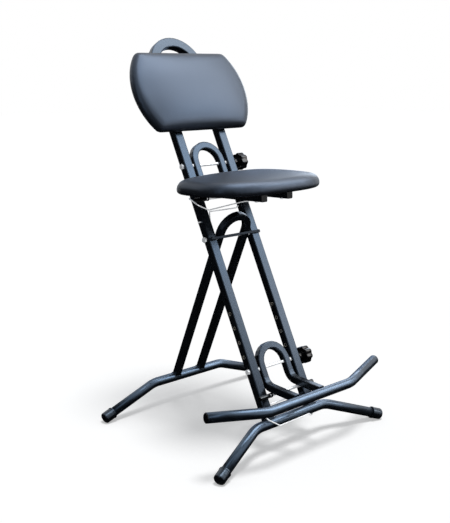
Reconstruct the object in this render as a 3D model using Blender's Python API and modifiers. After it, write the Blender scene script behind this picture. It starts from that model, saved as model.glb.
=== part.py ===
"""Folding sit-stand stool with a backrest: metres, +Z up, the sitter faces -Y.

A square-tube hoop leans back and carries the backrest, the seat and the footrest.
A narrower pair of rear legs crosses it on one pivot bolt and folds into its plane.
The seat and the footrest are bent tube frames that hang on cross pins and bear on
the front faces of the hoop through a stop rod, so each tips up for storing.
"""

import math

import bmesh
import bpy
from mathutils import Matrix, Quaternion, Vector

# Stance: both frames are measured along their own plane from the pivot bolt
PIVOT_HEIGHT = 0.531
MAIN_LEAN = math.radians(27.4)
REAR_LEAN = math.radians(23.5)

# Clearances
GAP = 0.0003
STOP_GAP = 0.0004

# Tube walls and corners
WALL = 0.0015
TUBE_CORNER = 0.003

# Hoop of the main frame
UPRIGHT_WIDTH = 0.028
UPRIGHT_DEPTH = 0.024
UPRIGHT_SPACING = 0.156
HOOP_TOP = 0.598

# Narrow frames: rear legs, seat frame and footrest frame share one bent tube
NARROW_TUBE = 0.020
NARROW_SPACING = 0.092
NARROW_BEND = 0.034
REAR_ARCH_TOP = 0.073

# Base tubes with their foot caps
ROUND_RADIUS = 0.0135
FRONT_BASE_HEIGHT = 0.0752
FRONT_BASE_AHEAD = 0.004
FRONT_ARM_LEAN = math.radians(41.8)
REAR_BASE_HEIGHT = 0.0752
REAR_ARM_LEAN = math.radians(-1.0)
BASE_BEND_X = 0.130
BASE_END_X = 0.308
BASE_BEND_RADIUS = 0.09
FOOT_RADIUS = 0.016
FOOT_LENGTH = 0.034
FOOT_FLOOR = 0.010
FOOT_AXIS_HEIGHT = 0.0116

# Cross pins, spacers and hex hardware
PIN_RADIUS = 0.004
SPACER_RADIUS = 0.006
HEX_RADIUS = 0.0075
HEX_HEIGHT = 0.0055
NUT_HEIGHT = 0.0065
BOLT_TAIL = 0.003

# Seat frame on the hoop
SEAT_PIN = 0.212
SEAT_ARCH_TOP = 0.0656
SEAT_LEG = 0.0793
SEAT_TILT = math.radians(2.5)
SEAT_REACH = 0.235
SEAT_OVERHANG = 0.0365
SEAT_SCREW_END = 0.027
SEAT_SCREW_BACK = 0.0385

# Footrest on the hoop, pinned in one hole of a row above the base tube
FOOT_PIN_RISE = 0.1445
FOOT_ARCH_TOP = 0.063
FOOT_LEG = 0.049
FOOT_TILT = math.radians(-1.5)
FOOT_REACH = 0.1167
FOOT_TUBE_SHORT = 0.006
HOLE_PITCH = 0.040
HOLES_ABOVE = 5
HOLES_BELOW = 1

# Footrest bar, swept back and up at both ends
BAR_BEND_X = 0.157
BAR_END_X = 0.315
BAR_DROP = 0.006
BAR_SWEEP_BACK = 0.0484
BAR_SWEEP_UP = 0.0145
BAR_BEND_RADIUS = 0.10

# Stop rods under the seat and footrest tubes
STOP_RADIUS = 0.004
SLEEVE_RADIUS = 0.0065
SLEEVE_LENGTH = 0.004
BUMPER_RADIUS = 0.006
END_CAP_LENGTH = 0.0085
END_CAP_FLOOR = 0.002

# Tube plugs
PLUG_HEAD = 0.003
PLUG_DEPTH = 0.012

# Strap that stops the legs from spreading
STRAP_THICK = 0.003
STRAP_HEIGHT = 0.0075
STRAP_DROP = 0.0037
STRAP_CORNER = 0.007
EAR_RADIUS = 0.008

# Backrest cushion: straight upper and lower edges, bowed sides
PAD_HALF_WIDTH = 0.200
PAD_EDGE_HALF = 0.155
PAD_HALF_DEPTH = 0.118
PAD_CORNER = 0.016
PAD_WIDEST = 0.0165
PAD_RIM = 0.034
PAD_CROWN = 0.014
PAD_TUCK = 0.008
PAD_SHOULDER = 0.022
BOARD_INSET = 0.014
BOARD_THICK = 0.012
BACKREST_CENTRE = 0.422

# Seat cushion: an oval with a flatter back edge and a higher crown
SEAT_PAD_HALF_WIDTH = 0.198
SEAT_PAD_AHEAD = 0.150
SEAT_PAD_BEHIND = 0.102
SEAT_PAD_FRONT_POWER = 3.2
SEAT_PAD_BACK_POWER = 4.0
SEAT_PAD_STEPS = 48
SEAT_PAD_WIDEST = 0.0125
SEAT_PAD_RIM = 0.036
SEAT_PAD_CROWN = 0.0175
SEAT_PAD_SHOULDER = 0.018

# Wood screws through the tubes into the boards
SCREW_RADIUS = 0.0025
SCREW_HEAD_RADIUS = 0.005
SCREW_HEAD_HEIGHT = 0.0028
SCREW_GRIP = 0.007
SCREW_POINT = 0.002
SCREW_REACH = 0.075

# Knobs
KNOB_RADIUS = 0.025
KNOB_LOBES = 8
KNOB_LOBE_DEPTH = 0.0015
KNOB_HUB_RADIUS = 0.011
KNOB_HUB_LENGTH = 0.016
KNOB_HEAD_LENGTH = 0.024
KNOB_EDGE = 0.005
KNOB_BORE_DEPTH = 0.026

# Wire catches that hold the folded legs
WIRE_RADIUS = 0.00175
WIRE_BEND = 0.003
BAIL_SEAT_LEFT = 0.077
BAIL_SEAT_RIGHT = 0.087
BAIL_BASE_LEFT = -0.0125
BAIL_BASE_RIGHT = -0.0105
BAIL_BASE_TURN = 0.050
BAIL_BASE_SLANT = 0.004
BAIL_SEAT_STEP = 0.018
BAIL_SEAT_RISE = 0.043
BAIL_BASE_STEP = 0.024
BAIL_BASE_RISE = 0.058
HOOK_BORE = 0.0508
HOOK_OUT = 0.008
HOOK_IN = 0.0065
HOOK_RUN = 0.0762
HOOK_SLANT = 0.008
HOOK_TIP_X = 0.0485
HOOK_TIP_RISE = 0.0053

# Fineness of round work
ARC_STEPS = 6
BEND_STEPS = 4
TURN_STEPS = 16
RING_STEPS = 12
HOLE_SIDES = 10


for old in list(bpy.data.objects):
    bpy.data.objects.remove(old, do_unlink=True)


# Collections and materials

def collection(name):
    made = bpy.data.collections.new(name)
    bpy.context.scene.collection.children.link(made)
    return made


PARTS = collection("stool_with_backrest")
CUTTERS = collection("stool_cutters")


def material(name, colour, roughness, metallic):
    made = bpy.data.materials.new(name)
    made.use_nodes = True
    shader = made.node_tree.nodes["Principled BSDF"]
    shader.inputs["Base Color"].default_value = (*colour, 1.0)
    shader.inputs["Roughness"].default_value = roughness
    shader.inputs["Metallic"].default_value = metallic
    return made


BLACK_PAINT = material("black_powder_coat", (0.022, 0.024, 0.030), 0.42, 0.0)
LEATHERETTE = material("black_leatherette", (0.030, 0.032, 0.038), 0.48, 0.0)
PLYWOOD = material("stained_plywood", (0.020, 0.018, 0.016), 0.75, 0.0)
ZINC = material("bright_zinc", (0.72, 0.73, 0.75), 0.26, 1.0)
PLASTIC = material("black_plastic", (0.016, 0.016, 0.018), 0.50, 0.0)
RUBBER = material("black_rubber", (0.014, 0.014, 0.015), 0.70, 0.0)


# Objects

def group(name, parent, location=(0, 0, 0), lean=0.0):
    made = bpy.data.objects.new(name, None)
    made.empty_display_size = 0.03
    PARTS.objects.link(made)
    made.parent = parent
    made.location = location
    made.rotation_euler = (lean, 0, 0)
    return made


def add(name, mesh, parent, finish, smooth=False):
    mesh.name = name
    made = bpy.data.objects.new(name, mesh)
    PARTS.objects.link(made)
    made.parent = parent
    mesh.materials.clear()
    mesh.materials.append(finish)
    if smooth:
        mesh.shade_smooth()
        mesh.set_sharp_from_angle(angle=math.radians(35))
    return made


def cutter(name, mesh, parent):
    mesh.name = name
    made = bpy.data.objects.new(name, mesh)
    CUTTERS.objects.link(made)
    made.parent = parent
    made.hide_render = True
    made.display_type = "WIRE"
    return made


def combine(target, tool, operation):
    step = target.modifiers.new(tool.name, "BOOLEAN")
    step.operation = operation
    step.solver = "EXACT"
    step.object = tool


def hollow(target, wall):
    step = target.modifiers.new("wall", "SOLIDIFY")
    step.thickness = wall
    step.offset = -1.0
    step.use_even_offset = True


# Meshes

def finished(work):
    bmesh.ops.remove_doubles(work, verts=work.verts[:], dist=1e-6)
    bmesh.ops.recalc_face_normals(work, faces=work.faces[:])
    mesh = bpy.data.meshes.new("work")
    work.to_mesh(mesh)
    work.free()
    return mesh


def poly_curve(points, closed, dimensions):
    data = bpy.data.curves.new("path", "CURVE")
    data.dimensions = dimensions
    line = data.splines.new("POLY")
    line.points.add(len(points) - 1)
    for spot, point in zip(line.points, points):
        spot.co = (*point, 1.0)
    line.use_cyclic_u = closed
    made = bpy.data.objects.new("path", data)
    CUTTERS.objects.link(made)
    return made


def mesh_of(curve):
    bpy.context.view_layer.update()
    evaluated = curve.evaluated_get(bpy.context.evaluated_depsgraph_get())
    mesh = bpy.data.meshes.new_from_object(evaluated)
    work = bmesh.new()
    work.from_mesh(mesh)
    bmesh.ops.remove_doubles(work, verts=work.verts[:], dist=1e-6)
    work.to_mesh(mesh)
    work.free()
    bpy.data.objects.remove(curve, do_unlink=True)
    return mesh


def round_mesh(points, radius, sides, closed=False, caps=False):
    path = poly_curve(points, closed, "3D")
    path.data.bevel_depth = radius
    path.data.bevel_resolution = (sides - 4) // 2
    path.data.use_fill_caps = caps
    return mesh_of(path)


def box_mesh(points, width, depth, corner, steps=2, caps=False):
    outline = rounded_rectangle(width, depth, corner, steps)
    section = poly_curve(outline, True, "2D")
    section.data.fill_mode = "NONE"
    path = poly_curve(points, False, "3D")
    path.data.bevel_mode = "OBJECT"
    path.data.bevel_object = section
    path.data.use_fill_caps = caps
    mesh = mesh_of(path)
    bpy.data.objects.remove(section, do_unlink=True)
    return mesh


def prism_mesh(spots, radius, start, end, sides=16):
    work = bmesh.new()
    for y, z in spots:
        along_x = Matrix.Rotation(math.pi / 2, 4, "Y")
        where = Matrix.Translation(((start + end) / 2, y, z)) @ along_x
        bmesh.ops.create_cone(
            work, cap_ends=True, segments=sides, radius1=radius, radius2=radius,
            depth=abs(end - start), matrix=where,
        )
    return finished(work)


def turned_mesh(profile, matrix=Matrix(), closed=False, steps=TURN_STEPS):
    work = bmesh.new()
    spots = [work.verts.new((x, radius, 0)) for x, radius in profile]
    edges = [work.edges.new(pair) for pair in zip(spots, spots[1:])]
    if closed:
        edges.append(work.edges.new((spots[-1], spots[0])))
    bmesh.ops.spin(
        work, geom=spots + edges, cent=(0, 0, 0), axis=(1, 0, 0),
        angle=2 * math.pi, steps=steps, use_merge=True,
    )
    bmesh.ops.transform(work, matrix=matrix, verts=work.verts[:])
    return finished(work)


def loft_mesh(rings, matrix=Matrix()):
    work = bmesh.new()
    loops = [[work.verts.new(point) for point in ring] for ring in rings]
    for below, above in zip(loops, loops[1:]):
        count = len(below)
        for i in range(count):
            j = (i + 1) % count
            work.faces.new((below[i], below[j], above[j], above[i]))
    work.faces.new(loops[0])
    work.faces.new(loops[-1])
    bmesh.ops.transform(work, matrix=matrix, verts=work.verts[:])
    return finished(work)


# Paths and outlines

def fillet_path(corners, radii, steps=None):
    corners = [Vector(corner) for corner in corners]
    counts = steps if isinstance(steps, list) else [steps or ARC_STEPS] * len(radii)
    points = [corners[0]]
    for before, corner, after, radius, steps in zip(corners, corners[1:], corners[2:], radii, counts):
        into = (corner - before).normalized()
        out = (after - corner).normalized()
        turn = into.angle(out)
        axis = into.cross(out).normalized()
        start = corner - into * radius * math.tan(turn / 2)
        centre = start + axis.cross(into) * radius
        for step in range(steps + 1):
            spot = centre + Quaternion(axis, turn * step / steps) @ (start - centre)
            if (spot - points[-1]).length > 1e-6:
                points.append(spot)
    points.append(corners[-1])
    return points


def arc(centre_x, centre_y, radius, first, last, steps):
    for step in range(steps + 1):
        angle = first + (last - first) * step / steps
        yield centre_x + radius * math.cos(angle), centre_y + radius * math.sin(angle)


def rounded_rectangle(width, depth, corner, steps):
    outline = []
    for quarter in range(4):
        first = quarter * math.pi / 2
        side_x = 1 if quarter in (0, 3) else -1
        side_y = 1 if quarter in (0, 1) else -1
        centre_x = side_x * (width / 2 - corner)
        centre_y = side_y * (depth / 2 - corner)
        for x, y in arc(centre_x, centre_y, corner, first, first + math.pi / 2, steps):
            outline.append((x, y, 0.0))
    return outline[::-1]


def barrel_outline(inset, height, side_steps=5, corner_steps=3, edge_steps=4):
    """Straight front and back edges joined by bowed sides, pulled in by the inset."""
    bow = PAD_HALF_WIDTH - PAD_EDGE_HALF
    bow_radius = (bow * bow + PAD_HALF_DEPTH ** 2) / (2 * bow)
    bow_centre = PAD_HALF_WIDTH - bow_radius
    side_radius = bow_radius - inset
    half_depth = PAD_HALF_DEPTH - inset
    corner = max(PAD_CORNER - inset * 0.5, 0.004)
    corner_y = half_depth - corner
    corner_x = bow_centre + math.sqrt((side_radius - corner) ** 2 - corner_y ** 2)
    meet = math.asin(corner_y / (side_radius - corner))
    quarter = list(arc(bow_centre, 0, side_radius, 0, meet, side_steps))
    quarter += list(arc(corner_x, corner_y, corner, meet, math.pi / 2, corner_steps))[1:]
    quarter += [(corner_x * (1 - i / edge_steps), half_depth) for i in range(1, edge_steps + 1)]
    upper = quarter[:-1] + [(-x, y) for x, y in reversed(quarter)][:-1]
    ring = upper + [(-x, -y) for x, y in upper]
    return [Vector((x, y, height)) for x, y in ring]


def oval_outline(inset, height):
    """Seat oval pulled in by the inset as far as the shoulder, then shrunk to its middle."""
    pulled = min(inset, SEAT_PAD_SHOULDER)
    shrink = 1 - (inset - pulled) / (SEAT_PAD_BEHIND - pulled)
    ring = []
    for step in range(SEAT_PAD_STEPS):
        angle = 2 * math.pi * step / SEAT_PAD_STEPS
        across = math.cos(angle)
        along = math.sin(angle)
        power = SEAT_PAD_BACK_POWER if along > 0 else SEAT_PAD_FRONT_POWER
        reach = SEAT_PAD_BEHIND if along > 0 else SEAT_PAD_AHEAD
        x = math.copysign(abs(across) ** (2 / power), across) * (SEAT_PAD_HALF_WIDTH - pulled)
        y = math.copysign(abs(along) ** (2 / power), along) * (reach - pulled)
        ring.append(Vector((x * shrink, y * shrink, height)))
    return ring


def cushion_mesh(outline, section, matrix):
    """Cushion on its base plane: tucked in below, bowed at the side, crowned on top."""
    depth, widest, rim, crown, shoulder = section
    rings = []
    for step in range(2):
        rise = step / 2
        rings.append((PAD_TUCK * (1 - rise) ** 2, GAP + (widest - GAP) * rise))
    for step in range(5):
        angle = math.pi / 2 * step / 5
        inset = shoulder * (1 - math.cos(angle))
        rings.append((inset, widest + (rim - widest) * math.sin(angle)))
    last = depth * 0.93
    for step in range(5):
        inset = shoulder + (last - shoulder) * step / 4
        rise = 1 - ((last - inset) / (last - shoulder)) ** 2
        rings.append((inset, rim + crown * rise))
    return loft_mesh([outline(*ring) for ring in rings], matrix)


# Shared distances
half_spread = UPRIGHT_SPACING / 2
half_narrow = NARROW_SPACING / 2
upright_outer = half_spread + UPRIGHT_WIDTH / 2
upright_inner = half_spread - UPRIGHT_WIDTH / 2
upright_front = UPRIGHT_DEPTH / 2
narrow_outer = half_narrow + NARROW_TUBE / 2
main_length = (
    PIVOT_HEIGHT + FRONT_BASE_AHEAD * math.sin(MAIN_LEAN) - FRONT_BASE_HEIGHT
) / math.cos(MAIN_LEAN)
foot_pin = FOOT_PIN_RISE - main_length
rear_length = (PIVOT_HEIGHT - REAR_BASE_HEIGHT) / math.cos(REAR_LEAN)
front_middle = Vector((0, -FRONT_BASE_AHEAD, -main_length))
rear_middle = Vector((0, 0, -rear_length))

front_drop = (FRONT_BASE_HEIGHT - FOOT_AXIS_HEIGHT) / math.cos(FRONT_ARM_LEAN)
rear_drop = (REAR_BASE_HEIGHT - FOOT_AXIS_HEIGHT) / math.cos(REAR_ARM_LEAN)
front_turn = FRONT_ARM_LEAN - MAIN_LEAN
rear_turn = REAR_LEAN - REAR_ARM_LEAN
pin_bore = PIN_RADIUS + GAP
far = 0.4
seat_pad_forward = SEAT_REACH + SEAT_OVERHANG - SEAT_PAD_AHEAD
seat_pad_back = seat_pad_forward - SEAT_PAD_BEHIND

# Frames of reference
root = group("stool", None)
main_frame = group("main_frame", root, (0, 0, PIVOT_HEIGHT), -MAIN_LEAN)
rear_legs = group("rear_legs", root, (0, 0, PIVOT_HEIGHT), REAR_LEAN)
seat = group("seat", main_frame, (0, 0, SEAT_PIN))
footrest = group("footrest", main_frame, (0, 0, foot_pin))
seat_deck = group("seat_deck", seat, (0, 0, -SEAT_LEG), MAIN_LEAN - SEAT_TILT)
foot_deck = group("footrest_deck", footrest, (0, 0, -FOOT_LEG), MAIN_LEAN - FOOT_TILT)
seat_knob = group("seat_knob_axis", main_frame, (0, 0, SEAT_PIN))
foot_knob = group("footrest_knob_axis", footrest)

# Tubes and hardware used more than once

def base_bends(middle, turn, drop):
    """Corners of a base tube whose arms drop in a plane turned from the leg plane."""
    fall = Vector((0, -math.sin(turn), -math.cos(turn))) * drop
    left_bend = middle + Vector((-BASE_BEND_X, 0, 0))
    right_bend = middle + Vector((BASE_BEND_X, 0, 0))
    left_end = middle + fall + Vector((-BASE_END_X, 0, 0))
    right_end = middle + fall + Vector((BASE_END_X, 0, 0))
    return left_end, left_bend, right_bend, right_end


def base_tube(name, parent, corners):
    left_end, left_bend, right_bend, right_end = corners
    left_mouth = left_end + (left_bend - left_end).normalized() * FOOT_FLOOR
    right_mouth = right_end + (right_bend - right_end).normalized() * FOOT_FLOOR
    path = fillet_path([left_mouth, left_bend, right_bend, right_mouth], [BASE_BEND_RADIUS] * 2, 4)
    tube = add(name, round_mesh(path, ROUND_RADIUS, 16), parent, BLACK_PAINT, True)
    hollow(tube, WALL)
    return tube


def foot_cap(name, parent, end, bend, floor):
    mouth = FOOT_LENGTH - FOOT_FLOOR
    bore = ROUND_RADIUS + GAP
    profile = [
        (mouth + GAP, 0), (mouth + GAP, bore), (0, bore), (0, FOOT_RADIUS - 0.001),
        (0.001, FOOT_RADIUS), (FOOT_LENGTH - 0.004, FOOT_RADIUS),
        (FOOT_LENGTH - 0.0012, FOOT_RADIUS - 0.0016), (FOOT_LENGTH, FOOT_RADIUS - 0.005),
        (FOOT_LENGTH, 0),
    ]
    aim = Vector((1, 0, 0)).rotation_difference(end - bend).to_matrix().to_4x4()
    where = Matrix.Translation(end) @ aim @ Matrix.Translation((-FOOT_LENGTH, 0, 0))
    cap = add(name, turned_mesh(profile, where), parent, RUBBER, True)
    combine(cap, floor, "DIFFERENCE")
    return cap


def base_set(name, parent, middle, turn, drop, floor):
    corners = base_bends(middle, turn, drop)
    base_tube(f"{name}_base_tube", parent, corners)
    foot_cap(f"{name}_foot_left", parent, corners[0], corners[1], floor)
    foot_cap(f"{name}_foot_right", parent, corners[3], corners[2], floor)


def cope(tube, name, parent, middle):
    spot = [(middle.y, middle.z)]
    tool = cutter(name, prism_mesh(spot, ROUND_RADIUS + GAP, -far, far, 32), parent)
    combine(tube, tool, "DIFFERENCE")


def drill(tube, name, parent, heights, radius):
    spots = [(0, height) for height in heights]
    tool = cutter(name, prism_mesh(spots, radius, -far, far, HOLE_SIDES), parent)
    combine(tube, tool, "DIFFERENCE")


def ring_x(name, parent, inner, outer, start, end, at, finish):
    profile = [(start, inner), (end, inner), (end, outer), (start, outer)]
    mesh = turned_mesh(profile, Matrix.Translation((0, *at)), True, RING_STEPS)
    return add(name, mesh, parent, finish, True)


def spacers(name, parent, height):
    for word, side in (("left", -1), ("right", 1)):
        ends = sorted((side * (narrow_outer + GAP), side * (upright_inner - GAP)))
        ring_x(f"{name}_spacer_{word}", parent, pin_bore, SPACER_RADIUS, *ends, (0, height), ZINC)


def hex_bolt(name, parent, height, seat_face, tail):
    shank = prism_mesh([(0, height)], PIN_RADIUS, -seat_face - HEX_HEIGHT / 2, tail)
    bolt = add(name, shank, parent, ZINC, True)
    head = prism_mesh([(0, height)], HEX_RADIUS, -seat_face - HEX_HEIGHT, -seat_face, 6)
    combine(bolt, cutter(f"{name}_head", head, parent), "UNION")
    return bolt


def screw(name, parent, matrix, grip_start):
    profile = [
        (0, 0), (0, SCREW_HEAD_RADIUS * 0.7), (SCREW_HEAD_HEIGHT * 0.6, SCREW_HEAD_RADIUS),
        (SCREW_HEAD_HEIGHT, SCREW_HEAD_RADIUS), (SCREW_HEAD_HEIGHT, SCREW_RADIUS),
        (SCREW_HEAD_HEIGHT + grip_start + SCREW_GRIP, SCREW_RADIUS),
        (SCREW_HEAD_HEIGHT + grip_start + SCREW_GRIP + SCREW_POINT, 0),
    ]
    return add(name, turned_mesh(profile, matrix, steps=12), parent, ZINC, True)


def square_plug(name, parent, side, reach):
    size = NARROW_TUBE - 2 * (WALL + GAP)
    head = box_mesh(
        [(side * half_narrow, -reach - GAP, 0), (side * half_narrow, -reach - PLUG_HEAD, 0)],
        NARROW_TUBE, NARROW_TUBE, TUBE_CORNER, caps=True,
    )
    plug = add(name, head, parent, PLASTIC)
    stem = box_mesh(
        [(side * half_narrow, -reach + PLUG_DEPTH, 0), (side * half_narrow, -reach - PLUG_HEAD / 2, 0)],
        size, size, TUBE_CORNER - WALL, caps=True,
    )
    combine(plug, cutter(f"{name}_stem", stem, parent), "UNION")
    return plug


def bent_frame(name, parent, leg, reach, tilt, arch_top):
    """One tube: forward arm, leg, round arch, leg, forward arm."""
    bend = MAIN_LEAN - tilt
    forward = Vector((0, -math.cos(bend), -math.sin(bend))) * reach
    left_foot = Vector((-half_narrow, 0, -leg))
    right_foot = Vector((half_narrow, 0, -leg))
    top = arch_top - NARROW_TUBE / 2
    corners = [
        left_foot + forward, left_foot, (-half_narrow, 0, top), (half_narrow, 0, top),
        right_foot, right_foot + forward,
    ]
    radii = [NARROW_BEND, half_narrow, half_narrow, NARROW_BEND]
    path = fillet_path(corners, radii, [BEND_STEPS, ARC_STEPS, ARC_STEPS, BEND_STEPS])
    mesh = box_mesh(path, NARROW_TUBE, NARROW_TUBE, TUBE_CORNER)
    tube = add(name, mesh, parent, BLACK_PAINT)
    hollow(tube, WALL)
    drill(tube, f"{name}_pin_bore", parent, [0], pin_bore)
    return tube


def stop_rod(name, deck, tilt):
    """Rod under the arms, with soft caps that bear on the front faces of the hoop."""
    bend = MAIN_LEAN - tilt
    drop = NARROW_TUBE / 2 + GAP + STOP_RADIUS
    stand_off = upright_front + STOP_GAP + BUMPER_RADIUS
    ahead = (drop * math.sin(bend) + stand_off) / math.cos(bend)
    at = (-ahead, -drop)
    outer = upright_outer + END_CAP_LENGTH - END_CAP_FLOOR
    rod = add(f"{name}_stop_rod", prism_mesh([at], STOP_RADIUS, -outer, outer, 16), deck, ZINC, True)
    for word, side in (("left", -1), ("right", 1)):
        ends = sorted((side * (narrow_outer + GAP), side * (narrow_outer + SLEEVE_LENGTH)))
        sleeve = f"{name}_stop_sleeve_{word}"
        ring_x(sleeve, deck, STOP_RADIUS + GAP, SLEEVE_RADIUS, *ends, at, PLASTIC)
        bottom = outer + GAP
        end = outer + END_CAP_FLOOR
        edge = BUMPER_RADIUS - STOP_RADIUS - GAP
        profile = [
            (bottom, 0), (bottom, STOP_RADIUS + GAP), (upright_inner, STOP_RADIUS + GAP),
            (upright_inner, BUMPER_RADIUS), (end - edge / 2, BUMPER_RADIUS), (end, BUMPER_RADIUS - edge / 2),
            (end, 0),
        ]
        turn = Matrix.Rotation(0 if side > 0 else math.pi, 4, "Z")
        mesh = turned_mesh(profile, Matrix.Translation((0, *at)) @ turn, steps=RING_STEPS)
        add(f"{name}_stop_cap_{word}", mesh, deck, PLASTIC, True)
    return rod


def knob(name, parent, matrix):
    """Lobed head on a hub with a blind bore for the pin."""
    head_start = KNOB_HUB_LENGTH
    head_end = KNOB_HUB_LENGTH + KNOB_HEAD_LENGTH
    bore = PIN_RADIUS + GAP
    under = KNOB_RADIUS - KNOB_LOBE_DEPTH - KNOB_EDGE * 0.4
    stations = [
        (KNOB_BORE_DEPTH, bore, 0), (0, bore, 0), (0, KNOB_HUB_RADIUS, 0),
        (head_start, KNOB_HUB_RADIUS, 0), (head_start, under, 0.6),
        (head_start + KNOB_EDGE * 0.5, KNOB_RADIUS - KNOB_LOBE_DEPTH, 1),
        (head_end - KNOB_EDGE, KNOB_RADIUS - KNOB_LOBE_DEPTH, 1),
        (head_end - KNOB_EDGE * 0.3, KNOB_RADIUS - KNOB_LOBE_DEPTH - KNOB_EDGE * 0.3, 1),
        (head_end, KNOB_RADIUS - KNOB_LOBE_DEPTH - KNOB_EDGE, 0.7),
        (head_end, KNOB_RADIUS * 0.55, 0), (head_end - 0.0012, KNOB_RADIUS * 0.5, 0),
    ]
    rings = []
    for x, radius, lobes in stations:
        ring = []
        for step in range(KNOB_LOBES * 4):
            angle = 2 * math.pi * step / (KNOB_LOBES * 4)
            reach = radius + lobes * KNOB_LOBE_DEPTH * math.cos(KNOB_LOBES * angle)
            ring.append(Vector((x, reach * math.cos(angle), reach * math.sin(angle))))
        rings.append(ring)
    return add(name, loft_mesh(rings, matrix), parent, PLASTIC, True)


# Floor, as the tool that cuts the soles flat
floor_work = bmesh.new()
bmesh.ops.create_cube(floor_work, size=1.0, matrix=Matrix.Diagonal((2, 2, 0.2, 1)))
bmesh.ops.translate(floor_work, verts=floor_work.verts[:], vec=(0, 0, -0.1))
floor_tool = cutter("floor_cut", finished(floor_work), root)

# Main frame: hoop, base tube and feet
hoop_mid = HOOP_TOP - UPRIGHT_WIDTH / 2
hoop_corners = [
    (-half_spread, 0, -main_length), (-half_spread, 0, hoop_mid),
    (half_spread, 0, hoop_mid), (half_spread, 0, -main_length),
]
hoop_path = fillet_path(hoop_corners, [half_spread] * 2, 10)
hoop = add(
    "main_frame_tube", box_mesh(hoop_path, UPRIGHT_WIDTH, UPRIGHT_DEPTH, TUBE_CORNER),
    main_frame, BLACK_PAINT,
)
hollow(hoop, WALL)
cope(hoop, "main_frame_cope", main_frame, front_middle)
row = [foot_pin + HOLE_PITCH * step for step in range(-HOLES_BELOW, HOLES_ABOVE + 1)]
drill(hoop, "main_frame_bores", main_frame, [0, SEAT_PIN, *row], pin_bore)
base_set("front", main_frame, front_middle, front_turn, front_drop, floor_tool)

# Rear legs: arch, base tube and feet
rear_top = REAR_ARCH_TOP - NARROW_TUBE / 2
rear_corners = [
    (-half_narrow, 0, -rear_length), (-half_narrow, 0, rear_top),
    (half_narrow, 0, rear_top), (half_narrow, 0, -rear_length),
]
rear_path = fillet_path(rear_corners, [half_narrow] * 2)
rear_tube = add(
    "rear_leg_tube", box_mesh(rear_path, NARROW_TUBE, NARROW_TUBE, TUBE_CORNER),
    rear_legs, BLACK_PAINT,
)
hollow(rear_tube, WALL)
cope(rear_tube, "rear_leg_cope", rear_legs, rear_middle)
drill(rear_tube, "rear_leg_bore", rear_legs, [0], pin_bore)
base_set("rear", rear_legs, rear_middle, rear_turn, rear_drop, floor_tool)

# Pivot: bolt, nut, spacers and the strap that limits the spread
strap_x = upright_outer + GAP + STRAP_THICK / 2
spread = MAIN_LEAN + REAR_LEAN
strap_top = STRAP_HEIGHT / 2 - STRAP_DROP
strap_back = (NARROW_TUBE / 2 + STOP_GAP + strap_top * math.sin(spread)) / math.cos(spread)
strap_y = -strap_back - STRAP_THICK / 2
strap_path = fillet_path(
    [
        (-strap_x, 0, -STRAP_DROP / 2), (-strap_x, strap_y, -STRAP_DROP),
        (strap_x, strap_y, -STRAP_DROP), (strap_x, 0, -STRAP_DROP / 2),
    ],
    [STRAP_CORNER] * 2, BEND_STEPS,
)
strap = add(
    "spread_stop_strap", box_mesh(strap_path, STRAP_THICK, STRAP_HEIGHT, 0.0008, 1, True),
    main_frame, BLACK_PAINT,
)
for word, side in (("left", -1), ("right", 1)):
    ends = sorted((side * (strap_x - STRAP_THICK / 2), side * (strap_x + STRAP_THICK / 2)))
    ear = cutter(f"strap_ear_{word}", prism_mesh([(0, 0)], EAR_RADIUS, *ends), main_frame)
    combine(strap, ear, "UNION")
drill(strap, "strap_bore", main_frame, [0], pin_bore)
strap_face = strap_x + STRAP_THICK / 2 + GAP
hex_bolt("pivot_bolt", main_frame, 0, strap_face, strap_face + NUT_HEIGHT + BOLT_TAIL)
nut = add(
    "pivot_nut", prism_mesh([(0, 0)], HEX_RADIUS, strap_face, strap_face + NUT_HEIGHT, 6),
    main_frame, ZINC,
)
drill(nut, "nut_bore", main_frame, [0], pin_bore)
spacers("pivot", main_frame, 0)

# Seat: pin, frame, board, cushion
knob_face = upright_outer + GAP
pin_tail = knob_face + KNOB_BORE_DEPTH - 0.002
hex_bolt("seat_pin", main_frame, SEAT_PIN, upright_outer + GAP, pin_tail)
spacers("seat", main_frame, SEAT_PIN)
knob("seat_knob", seat_knob, Matrix.Translation((knob_face, 0, 0)))
seat_tube = bent_frame("seat_frame_tube", seat, SEAT_LEG, SEAT_REACH, SEAT_TILT, SEAT_ARCH_TOP)
square_plug("seat_plug_left", seat_deck, -1, SEAT_REACH)
square_plug("seat_plug_right", seat_deck, 1, SEAT_REACH)
stop_rod("seat", seat_deck, SEAT_TILT)
deck_top = NARROW_TUBE / 2
seat_middle = Matrix.Translation((0, -seat_pad_forward, deck_top))


def cushion(name, parent, middle, outline, section):
    levels = (GAP, GAP + BOARD_THICK)
    board_mesh = loft_mesh([outline(BOARD_INSET, level) for level in levels], middle)
    board = add(f"{name}_board", board_mesh, parent, PLYWOOD)
    pad = add(f"{name}_pad", cushion_mesh(outline, section, middle), parent, LEATHERETTE, True)
    levels = (-BOARD_THICK, BOARD_THICK + 2 * GAP)
    recess_mesh = loft_mesh([outline(BOARD_INSET - GAP, level) for level in levels], middle)
    combine(pad, cutter(f"{name}_recess", recess_mesh, parent), "DIFFERENCE")
    return board


seat_section = (
    SEAT_PAD_BEHIND, SEAT_PAD_WIDEST, SEAT_PAD_RIM, SEAT_PAD_CROWN, SEAT_PAD_SHOULDER,
)
seat_board = cushion("seat", seat_deck, seat_middle, oval_outline, seat_section)

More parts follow.
